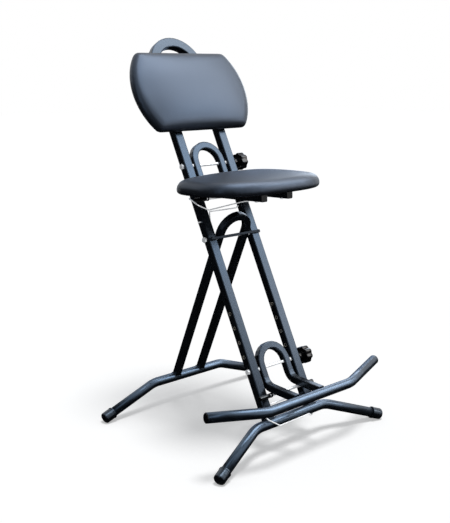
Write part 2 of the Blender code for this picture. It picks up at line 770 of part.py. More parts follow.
# Backrest: its cushion stands against the front faces of the hoop
stand_up = Matrix.Rotation(math.pi / 2, 4, "X")
back_middle = Matrix.Translation((0, -upright_front, BACKREST_CENTRE)) @ stand_up
back_section = (PAD_HALF_DEPTH, PAD_WIDEST, PAD_RIM, PAD_CROWN, PAD_SHOULDER)
back_board = cushion("backrest", main_frame, back_middle, barrel_outline, back_section)


def board_screws(name, parent, frame, board, spots, direction, tube_depth):
    """Screws that pass through both walls of a tube into the board."""
    aim = Vector((1, 0, 0)).rotation_difference(Vector(direction)).to_matrix().to_4x4()
    depth = SCREW_HEAD_HEIGHT + tube_depth + 2 * GAP + SCREW_GRIP + SCREW_POINT
    profile = [(0, 0), (0, SCREW_RADIUS + GAP), (depth, SCREW_RADIUS + GAP), (depth, 0)]
    bores = bmesh.new()
    for number, spot in enumerate(spots, 1):
        start = Vector(spot) - Vector(direction) * (tube_depth / 2 + GAP + SCREW_HEAD_HEIGHT)
        where = Matrix.Translation(start) @ aim
        screw(f"{name}_screw_{number}", parent, where, tube_depth + GAP)
        bores.from_mesh(turned_mesh(profile, where, steps=12))
    tool = cutter(f"{name}_screw_bores", finished(bores), parent)
    combine(frame, tool, "DIFFERENCE")
    combine(board, tool, "DIFFERENCE")


seat_spots = [
    (side * half_narrow, -ahead, 0)
    for ahead in (SEAT_REACH - SEAT_SCREW_END, seat_pad_back + SEAT_SCREW_BACK) for side in (-1, 1)
]
board_screws("seat", seat_deck, seat_tube, seat_board, seat_spots, (0, 0, 1), NARROW_TUBE)
back_spots = [
    (side * half_spread, 0, BACKREST_CENTRE + step * SCREW_REACH)
    for step in (-1, 1) for side in (-1, 1)
]
board_screws("backrest", main_frame, hoop, back_board, back_spots, (0, -1, 0), UPRIGHT_DEPTH)

# Footrest: pin, frame, bar
hex_bolt("footrest_pin", footrest, 0, upright_outer + GAP, pin_tail)
spacers("footrest", footrest, 0)
knob("footrest_knob", foot_knob, Matrix.Translation((knob_face, 0, 0)))
foot_tube = bent_frame(
    "footrest_frame_tube", footrest, FOOT_LEG, FOOT_REACH - FOOT_TUBE_SHORT, FOOT_TILT, FOOT_ARCH_TOP,
)
bar_tool = prism_mesh([(-FOOT_REACH, -BAR_DROP)], ROUND_RADIUS + GAP, -far, far, 32)
combine(foot_tube, cutter("footrest_bar_cope", bar_tool, foot_deck), "DIFFERENCE")
bar_middle = Vector((0, -FOOT_REACH, -BAR_DROP))
bar_sweep = Vector((0, BAR_SWEEP_BACK, BAR_SWEEP_UP))
bar_ends = []
for side in (-1, 1):
    bend = bar_middle + Vector((side * BAR_BEND_X, 0, 0))
    end = bar_middle + bar_sweep + Vector((side * BAR_END_X, 0, 0))
    bar_ends.append((bend, end))
bar_corners = [bar_ends[0][1], bar_ends[0][0], bar_ends[1][0], bar_ends[1][1]]
bar_path = fillet_path(bar_corners, [BAR_BEND_RADIUS] * 2, 4)
bar = add("footrest_bar", round_mesh(bar_path, ROUND_RADIUS, 16), foot_deck, BLACK_PAINT, True)
hollow(bar, WALL)
for word, (bend, end) in zip(("left", "right"), bar_ends):
    aim = Vector((1, 0, 0)).rotation_difference(end - bend).to_matrix().to_4x4()
    stem = ROUND_RADIUS - WALL - 2 * GAP
    profile = [
        (-PLUG_DEPTH, 0), (-PLUG_DEPTH, stem - 0.001), (-PLUG_DEPTH + 0.001, stem), (GAP, stem),
        (GAP, ROUND_RADIUS), (PLUG_HEAD - 0.0015, ROUND_RADIUS), (PLUG_HEAD, ROUND_RADIUS - 0.0015),
        (PLUG_HEAD, 0),
    ]
    mesh = turned_mesh(profile, Matrix.Translation(end) @ aim)
    add(f"footrest_plug_{word}", mesh, foot_deck, PLASTIC, True)
stop_rod("footrest", foot_deck, FOOT_TILT)


# Wire catches on the hoop

def wire(name, corners, closed):
    path = fillet_path(corners, [WIRE_BEND] * (len(corners) - 2), 2)
    if closed:
        path = path[:-1]
    mesh = round_mesh(path, WIRE_RADIUS, 8, closed=closed, caps=not closed)
    return add(name, mesh, main_frame, ZINC, True)


wire_out = GAP + WIRE_RADIUS
wire_side = upright_outer + wire_out
wire_rear = upright_front + wire_out
wire_inner = upright_inner - WIRE_RADIUS

# Loop round both uprights under the seat, stepping down across their front faces
seat_bail_rear = (BAIL_SEAT_LEFT + BAIL_SEAT_RIGHT) / 2 + BAIL_SEAT_RISE
wire(
    "seat_wire_bail",
    [
        (0, wire_rear, seat_bail_rear), (-wire_side, wire_rear, seat_bail_rear),
        (-wire_side, -wire_rear, BAIL_SEAT_LEFT + BAIL_SEAT_STEP), (-wire_inner, -wire_rear, BAIL_SEAT_LEFT),
        (wire_inner, -wire_rear, BAIL_SEAT_RIGHT), (wire_side, -wire_rear, BAIL_SEAT_RIGHT),
        (wire_side, wire_rear, seat_bail_rear), (0, wire_rear, seat_bail_rear),
    ],
    True,
)

# Loop round the hoop's foot: along the front of the base tube, then under and up behind it
base_bail_front = FRONT_BASE_AHEAD + ROUND_RADIUS + GAP + wire_out
base_bail_back = ROUND_RADIUS - FRONT_BASE_AHEAD + GAP + wire_out
base_bail_under = -main_length - ROUND_RADIUS - GAP - wire_out
base_bail_rear = (BAIL_BASE_LEFT + BAIL_BASE_RIGHT) / 2 + BAIL_BASE_RISE - main_length
base_bail_left = BAIL_BASE_LEFT - main_length
wire(
    "base_wire_bail",
    [
        (0, wire_rear, base_bail_rear), (-wire_side, wire_rear, base_bail_rear),
        (-wire_side, -base_bail_front, base_bail_left + BAIL_BASE_STEP),
        (-wire_inner, -base_bail_front, base_bail_left),
        (BAIL_BASE_TURN, -base_bail_front, BAIL_BASE_RIGHT - main_length),
        (BAIL_BASE_TURN + BAIL_BASE_SLANT, -base_bail_front, base_bail_under),
        (wire_side - BAIL_BASE_SLANT, base_bail_back, base_bail_under),
        (wire_side, base_bail_back, -main_length),
        (wire_side, wire_rear, base_bail_rear), (0, wire_rear, base_bail_rear),
    ],
    True,
)

# Hook through the left upright that crosses to the right one
bore_end = -upright_inner + HOOK_OUT
hook_bore = prism_mesh([(0, HOOK_BORE)], WIRE_RADIUS + GAP, -far, bore_end, HOLE_SIDES)
combine(hoop, cutter("hook_bore", hook_bore, main_frame), "DIFFERENCE")
hook_rise = -upright_inner + HOOK_IN
wire(
    "seat_wire_hook",
    [
        (-upright_outer - HOOK_OUT, 0, HOOK_BORE), (hook_rise, 0, HOOK_BORE),
        (hook_rise + HOOK_SLANT, 0, HOOK_RUN), (HOOK_TIP_X, 0, HOOK_RUN),
        (upright_inner - HOOK_IN, 0, HOOK_RUN + HOOK_TIP_RISE),
    ],
    False,
)

# Origin: middle of the footprint box, on the floor
bpy.context.view_layer.update()
graph = bpy.context.evaluated_depsgraph_get()
spans = []
for piece in PARTS.objects:
    if piece.type == "MESH":
        shape = piece.evaluated_get(graph)
        spans += [(piece.matrix_world @ vertex.co).y for vertex in shape.data.vertices]
root.location.y = -(min(spans) + max(spans)) / 2
bpy.context.view_layer.update()
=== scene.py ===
"""Looks of the folding stool with a backrest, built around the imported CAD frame.

Metres, +Z up, the sitter faces -Y and the knobs are on +X. The square tubes, pins, wires and
fastenings are the CAD nodes with better materials. The cushions, round tubes, feet and knobs are
finer pieces that stand for their CAD solids, and weld beads are added at the base tubes.
"""

import math
from collections import namedtuple

import bmesh
import bpy
import numpy as np
from mathutils import Matrix, Quaternion, Vector

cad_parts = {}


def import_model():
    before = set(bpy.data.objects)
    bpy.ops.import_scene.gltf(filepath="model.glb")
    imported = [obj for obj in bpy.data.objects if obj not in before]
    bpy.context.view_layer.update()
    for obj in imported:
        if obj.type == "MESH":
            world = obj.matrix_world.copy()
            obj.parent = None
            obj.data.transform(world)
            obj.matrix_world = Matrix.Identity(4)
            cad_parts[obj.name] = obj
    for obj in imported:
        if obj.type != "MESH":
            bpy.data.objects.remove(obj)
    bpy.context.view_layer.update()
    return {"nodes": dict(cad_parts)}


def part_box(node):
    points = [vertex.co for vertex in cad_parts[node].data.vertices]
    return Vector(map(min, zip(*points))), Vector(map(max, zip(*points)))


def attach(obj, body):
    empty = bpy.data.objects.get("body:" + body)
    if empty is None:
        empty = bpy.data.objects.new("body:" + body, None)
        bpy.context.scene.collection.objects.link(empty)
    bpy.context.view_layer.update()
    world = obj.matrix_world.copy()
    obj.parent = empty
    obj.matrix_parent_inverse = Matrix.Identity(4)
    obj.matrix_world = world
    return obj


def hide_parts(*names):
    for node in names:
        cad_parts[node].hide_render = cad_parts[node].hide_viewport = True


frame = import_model()
NODES = frame["nodes"]
scene = bpy.context.scene

# What comes in pairs, with the sign of its X
HANDS = (("left", -1), ("right", 1))

# Scissor pivot and the legs that cross there, as in the CAD source
PIVOT = Vector((0, 0.019295, 0.531))
MAIN_LEAN = math.radians(27.4)
REAR_LEAN = math.radians(23.5)
MAIN_LENGTH = 0.515469
REAR_LENGTH = 0.497028
UP_MAIN = Vector((0, math.sin(MAIN_LEAN), math.cos(MAIN_LEAN)))
OUT_MAIN = Vector((0, -math.cos(MAIN_LEAN), math.sin(MAIN_LEAN)))
UP_REAR = Vector((0, -math.sin(REAR_LEAN), math.cos(REAR_LEAN)))
OUT_REAR = Vector((0, -math.cos(REAR_LEAN), -math.sin(REAR_LEAN)))
FRONT_FOOT = PIVOT - UP_MAIN * MAIN_LENGTH
REAR_FOOT = PIVOT - UP_REAR * REAR_LENGTH
UPRIGHT_X = 0.078
UPRIGHT_HALF_WIDTH = 0.014
UPRIGHT_HALF_DEPTH = 0.012
LEG_X = 0.046
LEG_HALF = 0.010

# Row of footrest holes up the uprights, as in the CAD source, and the holes that are used, whose rims
# get a pale ring: rubbed bare steel and a painted glint
FOOT_PIN_RISE = 0.1445
HOLE_PITCH = 0.040
HOLE_RADIUS = 0.0043
HOLE_ROW_RISE = FOOT_PIN_RISE - HOLE_PITCH
HOLE_ROW_FOOT = PIVOT - (MAIN_LENGTH - HOLE_ROW_RISE) * UP_MAIN
FIRST_WORN_GLINT_HOLE = 1
LAST_WORN_GLINT_HOLE = 5
WEAR_GLINT_START = 0.0001
WEAR_GLINT_END = 0.0004

# Base tubes and feet, as in the CAD source
ROUND_RADIUS = 0.0135
TUBE_WALL = 0.0015
TUBE_BEVEL_STEPS = 14
TUBE_BEND_STEPS = 16
FRONT_BASE_AHEAD = 0.004
FRONT_BASE = FRONT_FOOT + OUT_MAIN * FRONT_BASE_AHEAD
FRONT_FALL = Vector((0, -0.05687, -0.0636))
REAR_FALL = Vector((0, -0.00111, -0.0636))
BASE_BEND_X = 0.130
BASE_END_X = 0.308
BASE_BEND_RADIUS = 0.09
FOOT_FLOOR = 0.010
FOOT_LENGTH = 0.034
FOOT_BORE_DEPTH = 0.0243
FOOT_BORE = 0.0138
FOOT_BORE_EASE = 0.0006
FOOT_LIP = 0.0166
FOOT_LIP_EASE = 0.0008
FOOT_LIP_END = 0.0042
FOOT_BODY = 0.0158
FOOT_BODY_START = 0.0052
FOOT_ROUND = 0.006
FOOT_ROUND_STEPS = 7
FOOT_SIDES = 40
FOOT_SHARP = math.radians(35)

# Footrest bar, as in the CAD source
FOOT_LEG = 0.049
FOOT_DECK_RISE = FOOT_PIN_RISE - FOOT_LEG
FOOT_DECK = PIVOT - (MAIN_LENGTH - FOOT_DECK_RISE) * UP_MAIN
FOOT_TILT = math.radians(-1.5)
FOOT_REACH = 0.1167
BAR_BEND_X = 0.157
BAR_END_X = 0.315
BAR_DROP = 0.006
BAR_SWEEP = Vector((0, 0.0484, 0.0145))
BAR_BEND_RADIUS = 0.10

# Weld beads round the square tubes that stand on the base tubes. The back is where the bead ends
# behind the tube, and ahead is how far the base tube lies in front of it.
Weld = namedtuple("Weld", "half_width half_depth back ahead")
FRONT_WELD = Weld(UPRIGHT_HALF_WIDTH, UPRIGHT_HALF_DEPTH, back=-0.0085, ahead=FRONT_BASE_AHEAD)
REAR_WELD = Weld(LEG_HALF, LEG_HALF, back=-LEG_HALF, ahead=0)
WELD_RADIUS = 0.0017
WELD_STEP = 0.0006
WELD_BEVEL_STEPS = 2
WELD_RIPPLE = 4
WELD_RIPPLE_DEPTH = 0.16

# Knobs, sized as in the CAD source but with finer lobes and a dished back and face. The stations
# are distance along the pin, radius and share of the lobes.
KNOB_LOBES = 8
KNOB_LOBE_STEPS = 12
KNOB_LOBE_DEPTH = 0.0015
KNOB_LENGTH = 0.040
KNOB_WAIST = 0.0235
KNOB_BACK = 0.0160
KNOB_BACK_ROUND = 0.0018
KNOB_BACK_STEPS = 5
KNOB_SIDE_MIDDLE = 0.0275
KNOB_FACE_ROUND = 0.0055
KNOB_FACE_STEPS = 6
KNOB_FACE_FADE = 0.6
KNOB_SHARP = math.radians(40)
KNOB_BORE_STATIONS = [(0.026, 0.0043, 0), (0, 0.0043, 0)]
KNOB_HUB_STATIONS = [(0, 0.0102, 0), (0.0008, 0.011, 0), (0.0172, 0.011, 0), (0.0178, 0.0116, 0)]
KNOB_RECESS_STATIONS = [(0.0178, 0.0170, 0), (0.0172, 0.0182, 0.4), (0.0162, 0.0192, 0.7)]
KNOB_DISH_STATIONS = [(KNOB_LENGTH, 0.0145, 0), (0.0388, 0.0135, 0), (0.0388, 0.0066, 0)]
KNOB_BUTTON_STATIONS = [(0.0396, 0.0058, 0), (KNOB_LENGTH, 0.0044, 0)]

# Cushion sections, as in the CAD source: heights of the widest part and of the rim, the rise of
# the crown above the rim, and how far the shoulder pulls in
Section = namedtuple("Section", "widest rim crown shoulder")
PAD_TUCK = 0.008
PAD_BASE = 0.0003
BOARD_INSET = 0.014
BOARD_THICK = 0.012
TUCK_STEPS = 5
SHOULDER_STEPS = 10

# Backrest cushion, as in the CAD source
BACKREST_CENTRE = 0.422
PAD_HALF_WIDTH = 0.200
PAD_EDGE_HALF = 0.155
PAD_HALF_DEPTH = 0.118
PAD_CORNER = 0.016
PAD_CORNER_LEAST = 0.004
PAD_BOW = PAD_HALF_WIDTH - PAD_EDGE_HALF
PAD_BOW_RADIUS = (PAD_BOW * PAD_BOW + PAD_HALF_DEPTH ** 2) / (2 * PAD_BOW)
PAD_BOW_CENTRE = PAD_HALF_WIDTH - PAD_BOW_RADIUS
PAD_SIDE_STEPS = 14
PAD_CORNER_STEPS = 6
PAD_EDGE_STEPS = 14
BACK_DOME_POWER = 3.0
BACK_SECTION = Section(widest=0.0165, rim=0.034, crown=0.014, shoulder=0.022)
BACK_PLANE = (
    Matrix.Translation(PIVOT)
    @ Matrix.Rotation(-MAIN_LEAN, 4, "X")
    @ Matrix.Translation((0, -UPRIGHT_HALF_DEPTH, BACKREST_CENTRE))
    @ Matrix.Rotation(math.pi / 2, 4, "X")
)

# Seat cushion, as in the CAD source
SEAT_TILT = math.radians(2.5)
SEAT_LEG_FOOT = Vector((0, 0.08036, 0.64881))
SEAT_PAD_FORWARD = 0.1215
SEAT_DECK_TOP = 0.010
SEAT_HALF_WIDTH = 0.198
SEAT_AHEAD = 0.150
SEAT_BEHIND = 0.102
SEAT_FRONT_POWER = 3.2
SEAT_BACK_POWER = 4.0
SEAT_SHOULDER = 0.018
SEAT_STEPS = 160
SEAT_SECTION = Section(widest=0.0125, rim=0.036, crown=0.0175, shoulder=SEAT_SHOULDER)
SEAT_PLANE = (
    Matrix.Translation(SEAT_LEG_FOOT)
    @ Matrix.Rotation(-SEAT_TILT, 4, "X")
    @ Matrix.Translation((0, -SEAT_PAD_FORWARD, SEAT_DECK_TOP))
)

# Cushion filling
PAD_SMALLER = 0.0015
PAD_VOXEL = 0.005
PAD_CAP = 0.003
PAD_PRESSURE = 4.0
PAD_FRAMES = 20
PAD_EVEN_STEPS = 60
PAD_HELD_HEIGHT = 0.004
PAD_SHARP = math.radians(60)

# Colours, darkest and palest where the surface varies
COAT_BLACKS = ((0.0035, 0.0040, 0.0052), (0.0055, 0.0062, 0.0080))
COAT_TINT = (0.50, 0.71, 1.0, 1.0)
COAT_GLOSS_RANGE = 0.05
# Pale and not metallic: rubbed bare steel round the used holes, which also paints their glint
BARE_STEEL_GLINT = (0.62, 0.57, 0.48)
BARE_STEEL_ROUGHNESS = 0.45
LEATHER_BLACKS = ((0.0055, 0.0060, 0.0075), (0.0080, 0.0088, 0.0110))
LEATHER_TINT = (0.54, 0.71, 1.0, 1.0)
ZINC_GREYS = ((0.76, 0.78, 0.80), (0.86, 0.87, 0.88))
PLASTIC_BLACKS = ((0.0020, 0.0020, 0.0026), (0.0034, 0.0034, 0.0042))
RUBBER_BLACKS = ((0.004, 0.0045, 0.006), (0.030, 0.029, 0.028))
RUBBER_TINT = (0.60, 0.78, 1.0, 1.0)
RUBBER_DUST_HEIGHT = 0.012
PLYWOOD_BROWNS = ((0.012, 0.010, 0.009), (0.042, 0.033, 0.027))

# Stage and camera
WHITE = (1, 1, 1, 1)
FLOOR_SIZE = 30
FLOOR_DROP = 0.0004
FLOOR_GREY = (0.80, 0.80, 0.80, 1)
FLOOR_GLOW = 0.40
WORLD_TINT = (0.92, 0.96, 1.0, 1)
WORLD_STRENGTH = 0.25
WARM_LIGHT = (1.0, 0.98, 0.96)
COOL_LIGHT = (0.92, 0.96, 1.0)
COLD_LIGHT = (0.84, 0.92, 1.0)
STRIP_SPOT = Vector((1.63, -1.48, 1.65))
STRIP_AIM = Vector((0, 0, 0.60))
STRIP_HALF = Vector((-0.127, 0.116, 0.361))
STRIP_SIZE = (0.50, 0.80)
STRIP_BLUE = (0.74, 0.88, 1.0)
STRIP_WARM = (1.0, 0.96, 0.94)
CARD_BLACK = (0.002, 0.002, 0.002)
CARD_BLUE = (0.40, 0.54, 0.78)
CAMERA_SPOT = (-1.5357, -1.6921, 0.9817)
CAMERA_TURN = (math.radians(77.148), 0, math.radians(-41.455))
CAMERA_LENS = 58.32
CAMERA_SENSOR = 36.0


# Node helpers

def new_material(name):
    made = bpy.data.materials.new(name)
    made.use_nodes = True
    tree = made.node_tree
    return made, tree, tree.nodes["Principled BSDF"]


def node(tree, kind, **values):
    made = tree.nodes.new(kind)
    for name, value in values.items():
        setattr(made, name, value)
    return made


def give(tree, socket, source):
    """Links a socket, or sets its own value where the source is a constant."""
    if isinstance(source, bpy.types.NodeSocket):
        tree.links.new(source, socket)
    else:
        socket.default_value = source


def feed(tree, target, **sources):
    """Gives named sockets their sources, with _ for each space in a name."""
    for name, source in sources.items():
        give(tree, target.inputs[name.replace("_", " ")], source)


def coordinates(tree, scale=(1, 1, 1)):
    place = node(tree, "ShaderNodeTexCoord")
    mapping = node(tree, "ShaderNodeMapping")
    feed(tree, mapping, Vector=place.outputs["Object"], Scale=scale)
    return mapping.outputs["Vector"]


def noise(tree, vector, scale, detail=2.0, roughness=0.5):
    made = node(tree, "ShaderNodeTexNoise")
    feed(tree, made, Vector=vector, Scale=scale, Detail=detail, Roughness=roughness)
    return made.outputs["Fac"]


def spread(tree, value, low, high, start=0.3, end=0.7):
    """Low to high as the value goes from start to end, and no further."""
    made = node(tree, "ShaderNodeMapRange", clamp=True)
    feed(tree, made, Value=value, From_Min=start, From_Max=end, To_Min=low, To_Max=high)
    return made.outputs["Result"]


def ramp(tree, value, colours, start=0.3, end=0.7):
    """First to second colour as the value goes from start to end."""
    made = node(tree, "ShaderNodeValToRGB")
    feed(tree, made, Fac=value)
    for element, spot, colour in zip(made.color_ramp.elements, (start, end), colours):
        element.position = spot
        element.color = (*colour, 1.0)
    return made.outputs["Color"]


def bump(tree, height, strength, distance):
    made = node(tree, "ShaderNodeBump")
    feed(tree, made, Height=height, Strength=strength, Distance=distance)
    return made


def mixed(tree, share, first, second):
    """Mix of two colours. Sockets 6, 7 and 2 are the colour ones of their names."""
    made = node(tree, "ShaderNodeMix", data_type="RGBA")
    feed(tree, made, Factor=share)
    give(tree, made.inputs[6], first)
    give(tree, made.inputs[7], (*second, 1.0))
    return made.outputs[2]


def along_axis(tree, place, origin, direction):
    """Distance of a point from the origin, measured in one direction."""
    away = node(tree, "ShaderNodeVectorMath", operation="SUBTRACT")
    give(tree, away.inputs[0], place)
    give(tree, away.inputs[1], origin)
    made = node(tree, "ShaderNodeVectorMath", operation="DOT_PRODUCT")
    give(tree, made.inputs[0], away.outputs["Vector"])
    give(tree, made.inputs[1], direction)
    return made.outputs["Value"]


def arithmetic(tree, operation, *values):
    made = node(tree, "ShaderNodeMath", operation=operation)
    for socket, value in zip(made.inputs, values):
        give(tree, socket, value)
    return made.outputs["Value"]


def hole_wear_and_glint(tree, place):
    """Share of the pale ring round the bores that are used: bare metal where the pin has rubbed the
    coat away, and a painted glint, since the pale colour is not metallic and looks bright on the rims
    whatever they reflect.
    """
    up = along_axis(tree, place, HOLE_ROW_FOOT, UP_MAIN)
    out = along_axis(tree, place, HOLE_ROW_FOOT, OUT_MAIN)
    nearest = arithmetic(tree, "SNAP", arithmetic(tree, "ADD", up, HOLE_PITCH / 2), HOLE_PITCH)
    nearest = arithmetic(tree, "MAXIMUM", nearest, FIRST_WORN_GLINT_HOLE * HOLE_PITCH)
    nearest = arithmetic(tree, "MINIMUM", nearest, LAST_WORN_GLINT_HOLE * HOLE_PITCH)
    off = arithmetic(tree, "SUBTRACT", up, nearest)
    off_square = arithmetic(tree, "MULTIPLY", off, off)
    out_square = arithmetic(tree, "MULTIPLY", out, out)
    reach = arithmetic(tree, "SQRT", arithmetic(tree, "ADD", off_square, out_square))
    return spread(tree, reach, 1.0, 0.0, HOLE_RADIUS + WEAR_GLINT_START, HOLE_RADIUS + WEAR_GLINT_END)


# Materials

def powder_coat(name="powder_coat", shine=0.50, smooth=0.22, ior=1.5, holes=False):
    """Satin black powder coat: orange peel, faint mottling, a slightly cool black."""
    made, tree, shader = new_material(name)
    place = coordinates(tree)
    mottle = noise(tree, place, scale=35.0, detail=4.0, roughness=0.6)
    colour = ramp(tree, mottle, COAT_BLACKS)
    cloud = noise(tree, place, scale=60.0, detail=3.0)
    gloss = spread(tree, cloud, smooth, smooth + COAT_GLOSS_RANGE)
    if holes:
        # Painted glint and wear: a pale ring of bare steel round the used holes
        wear_and_glint = hole_wear_and_glint(tree, place)
        colour = mixed(tree, wear_and_glint, colour, BARE_STEEL_GLINT)
        gloss = spread(tree, wear_and_glint, smooth + COAT_GLOSS_RANGE / 2, BARE_STEEL_ROUGHNESS, 0.0, 1.0)
    peel = bump(tree, noise(tree, place, scale=900.0), strength=0.02, distance=0.0004)
    feed(tree, shader, Base_Color=colour, Roughness=gloss, Normal=peel.outputs["Normal"])
    feed(tree, shader, IOR=ior, Specular_IOR_Level=shine, Specular_Tint=COAT_TINT)
    return made


def leatherette():
    """Smooth black leatherette with a fine pebbled grain and a soft sheen."""
    made, tree, shader = new_material("leatherette")
    place = coordinates(tree)
    tone = noise(tree, place, scale=14.0, detail=3.0, roughness=0.55)
    gloss = spread(tree, noise(tree, place, scale=240.0, detail=3.0), 0.40, 0.43)
    cells = node(tree, "ShaderNodeTexVoronoi", feature="DISTANCE_TO_EDGE")
    feed(tree, cells, Vector=place, Scale=620.0)
    pebble = spread(tree, cells.outputs["Distance"], 0.0, 1.0, 0.0, 0.25)
    grain = bump(tree, pebble, strength=0.07, distance=0.0002)
    pores = bump(tree, noise(tree, place, scale=1900.0), strength=0.05, distance=0.0001)
    feed(tree, pores, Normal=grain.outputs["Normal"])
    feed(tree, shader, Base_Color=ramp(tree, tone, LEATHER_BLACKS, 0.25, 0.75), Roughness=gloss)
    feed(tree, shader, Normal=pores.outputs["Normal"])
    feed(tree, shader, Specular_IOR_Level=0.75, Specular_Tint=LEATHER_TINT)
    return made


def zinc():
    """Bright zinc plate with a faint cool passivation and drawn streaks."""
    made, tree, shader = new_material("zinc_plate")
    along = coordinates(tree, (0.06, 1.0, 1.0))
    streak = noise(tree, along, scale=1400.0, detail=3.0, roughness=0.6)
    cloud = noise(tree, coordinates(tree), scale=120.0, detail=3.0)
    drawn = bump(tree, streak, strength=0.06, distance=0.0001)
    feed(tree, shader, Base_Color=ramp(tree, cloud, ZINC_GREYS), Metallic=0.40)
    feed(tree, shader, Roughness=spread(tree, streak, 0.30, 0.42), Normal=drawn.outputs["Normal"])
    return made


def moulded_plastic():
    """Glossy black moulded plastic with a faint moulding texture."""
    made, tree, shader = new_material("moulded_plastic")
    place = coordinates(tree)
    tone = noise(tree, place, scale=70.0, detail=3.0)
    gloss = spread(tree, noise(tree, place, scale=260.0, detail=3.0), 0.14, 0.20)
    texture = noise(tree, place, scale=2200.0, detail=3.0)
    skin = bump(tree, texture, strength=0.05, distance=0.0002)
    feed(tree, shader, Base_Color=ramp(tree, tone, PLASTIC_BLACKS), Roughness=gloss)
    feed(tree, shader, Specular_IOR_Level=0.26, Normal=skin.outputs["Normal"])
    return made


def rubber():
    """Satin black rubber, a little dusty near the floor."""
    made, tree, shader = new_material("rubber")
    place = coordinates(tree)
    apart = node(tree, "ShaderNodeSeparateXYZ")
    feed(tree, apart, Vector=place)
    low = spread(tree, apart.outputs["Z"], 1.0, 0.0, 0.0, RUBBER_DUST_HEIGHT)
    speck = noise(tree, place, scale=500.0, detail=4.0, roughness=0.7)
    dust = arithmetic(tree, "MULTIPLY", low, speck)
    skin = bump(tree, speck, strength=0.02, distance=0.0003)
    feed(tree, shader, Base_Color=ramp(tree, dust, RUBBER_BLACKS, 0.0, 1.0))
    feed(tree, shader, Roughness=spread(tree, speck, 0.22, 0.32), Normal=skin.outputs["Normal"])
    feed(tree, shader, Specular_IOR_Level=0.75, Specular_Tint=RUBBER_TINT)
    return made


def plywood():
    """Dark stained plywood with its grain along X."""
    made, tree, shader = new_material("plywood")
    grain = noise(tree, coordinates(tree, (6.0, 90.0, 90.0)), scale=1.0, detail=5.0, roughness=0.65)
    fibres = bump(tree, grain, strength=0.20, distance=0.0003)
    feed(tree, shader, Base_Color=ramp(tree, grain, PLYWOOD_BROWNS), Specular_IOR_Level=0.3)
    feed(tree, shader, Roughness=spread(tree, grain, 0.80, 0.62), Normal=fibres.outputs["Normal"])
    return made


FINISHES = {
    "black_powder_coat": powder_coat(),
    "black_leatherette": leatherette(),
    "stained_plywood": plywood(),
    "bright_zinc": zinc(),
    "black_plastic": moulded_plastic(),
    "black_rubber": rubber(),
}
DRILLED_COAT = powder_coat("powder_coat_drilled", holes=True)
DULL_COAT = powder_coat("powder_coat_dull", shine=0.10)
ROUND_COAT = powder_coat("powder_coat_round", shine=1.0, smooth=0.30, ior=1.68)


def finish_of(material):
    for name, made in FINISHES.items():
        if material and material.name.startswith(name):
            return made
    raise ValueError(f"no finish for {material}")


for solid in NODES.values():
    for place in solid.material_slots:
        place.material = finish_of(place.material)
NODES["main_frame_tube"].material_slots[0].material = DRILLED_COAT
NODES["spread_stop_strap"].material_slots[0].material = DULL_COAT


# Shapes that several pieces share

def dress(piece, body, slot, finish=None):
    """Gives a new piece its finish and the body that carries it."""
    piece.data.materials.clear()
    piece.data.materials.append(finish or FINISHES[slot])
    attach(piece, body)


def smooth_but(piece, angle):
    """Shades a piece smooth, apart from edges sharper than the angle."""
    piece.data.shade_smooth()
    piece.data.set_sharp_from_angle(angle=angle)


def arc(centre_x, centre_y, radius, first, last, steps):
    for step in range(steps + 1):
        angle = first + (last - first) * step / steps
        yield centre_x + radius * math.cos(angle), centre_y + radius * math.sin(angle)


def loft(name, rings):
    """Closed mesh object through rings of points, with a face on its first and last ring."""
    work = bmesh.new()
    loops = [[work.verts.new(point) for point in ring] for ring in rings]
    for below, above in zip(loops, loops[1:]):
        count = len(below)
        for i in range(count):
            j = (i + 1) % count
            work.faces.new((below[i], below[j], above[j], above[i]))
    work.faces.new(loops[0])
    work.faces.new(loops[-1])
    bmesh.ops.recalc_face_normals(work, faces=work.faces[:])
    mesh = bpy.data.meshes.new(name)
    work.to_mesh(mesh)
    work.free()
    made = bpy.data.objects.new(name, mesh)
    scene.collection.objects.link(made)
    return made


def swept(name, path, radius, steps):
    """Round curve object along a path, open at its ends."""
    data = bpy.data.curves.new(name, "CURVE")
    data.dimensions = "3D"
    data.bevel_depth = radius
    data.bevel_resolution = steps
    spline = data.splines.new("POLY")
    spline.points.add(len(path) - 1)
    for point, spot in zip(spline.points, path):
        point.co = (*spot, 1)
    made = bpy.data.objects.new(name, data)
    scene.collection.objects.link(made)
    return made


# Cushions

def barrel_outline(inset, height):
    """Straight front and back edges joined by bowed sides, pulled in by the inset."""
    side_radius = PAD_BOW_RADIUS - inset
    half_depth = PAD_HALF_DEPTH - inset
    corner = max(PAD_CORNER - inset / 2, PAD_CORNER_LEAST)
    corner_y = half_depth - corner
    corner_x = PAD_BOW_CENTRE + math.sqrt((side_radius - corner) ** 2 - corner_y ** 2)
    meet = math.asin(corner_y / (side_radius - corner))
    quarter = list(arc(PAD_BOW_CENTRE, 0, side_radius, 0, meet, PAD_SIDE_STEPS))
    quarter += list(arc(corner_x, corner_y, corner, meet, math.pi / 2, PAD_CORNER_STEPS))[1:]
    for step in range(1, PAD_EDGE_STEPS + 1):
        quarter.append((corner_x * (1 - step / PAD_EDGE_STEPS), half_depth))
    upper = quarter[:-1] + [(-x, y) for x, y in reversed(quarter)][:-1]
    ring = upper + [(-x, -y) for x, y in upper]
    return [Vector((x, y, height)) for x, y in ring]


def barrel_dome(spot):
    """Share of the crown at a point of the backrest: 0 along its edge, 1 in the middle."""
    along = min(abs(spot.y) / PAD_HALF_DEPTH, 1)
    reach = PAD_BOW_CENTRE + math.sqrt(PAD_BOW_RADIUS ** 2 - (along * PAD_HALF_DEPTH) ** 2)
    across = min(abs(spot.x) / reach, 1)
    return (1 - across ** BACK_DOME_POWER) * (1 - along ** BACK_DOME_POWER)


def oval_half(y):
    """Power and reach of the seat's oval, which differ behind its middle and ahead of it."""
    if y > 0:
        return SEAT_BACK_POWER, SEAT_BEHIND
    return SEAT_FRONT_POWER, SEAT_AHEAD


